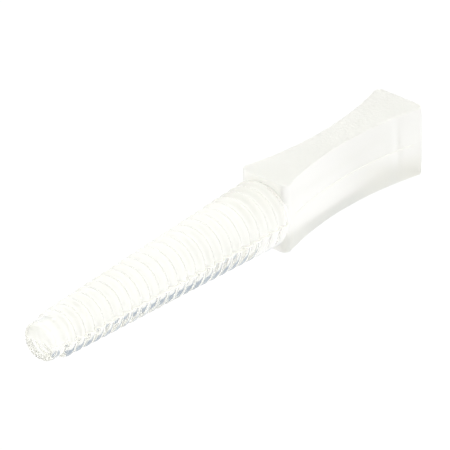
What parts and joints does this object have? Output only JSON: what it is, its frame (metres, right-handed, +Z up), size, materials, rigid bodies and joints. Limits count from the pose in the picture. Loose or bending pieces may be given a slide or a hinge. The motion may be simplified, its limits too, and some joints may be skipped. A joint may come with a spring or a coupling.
{
  "type": "wall anchor",
  "caption": "Clear moulded plastic wall anchor: tapered ribbed shank with a blunt nose, driven by a rectangular head block with hollowed sides and a mould parting seam.",
  "frame": {"origin": "centre of the driving face at the free end of the head", "axes": "+X along the anchor from the driving face to the nose, +Z up, square to the mould's parting plane, +Y across the head"},
  "size_m": [0.0482, 0.0066, 0.0068],
  "materials": {
    "head_plastic": "clear moulded plastic with a faint yellow-green tint, flats slightly grained",
    "shank_plastic": "clear moulded plastic, glossy",
    "rib_plastic": "clear moulded plastic, glossy ribs",
    "seam_plastic": "thin flash of the same clear plastic along the mould's parting plane"
  },
  "bodies": {
    "root": {"head_block": "head_plastic", "shank_core": "shank_plastic", "nose": "shank_plastic", "rib_01": "rib_plastic", "rib_02": "rib_plastic", "rib_03": "rib_plastic", "rib_04": "rib_plastic", "rib_05": "rib_plastic", "rib_06": "rib_plastic", "rib_07": "rib_plastic", "rib_08": "rib_plastic", "rib_09": "rib_plastic", "rib_10": "rib_plastic", "rib_11": "rib_plastic", "rib_12": "rib_plastic", "rib_13": "rib_plastic", "rib_14": "rib_plastic", "rib_15": "rib_plastic", "rib_16": "rib_plastic", "rib_17": "rib_plastic", "rib_18": "rib_plastic", "rib_19": "rib_plastic", "rib_20": "rib_plastic", "rib_21": "rib_plastic", "rib_22": "rib_plastic", "rib_23": "rib_plastic", "rib_24": "rib_plastic", "head_seam_right": "seam_plastic", "head_seam_left": "seam_plastic", "shank_seam_right": "seam_plastic", "shank_seam_left": "seam_plastic"}
  },
  "joints": []
}
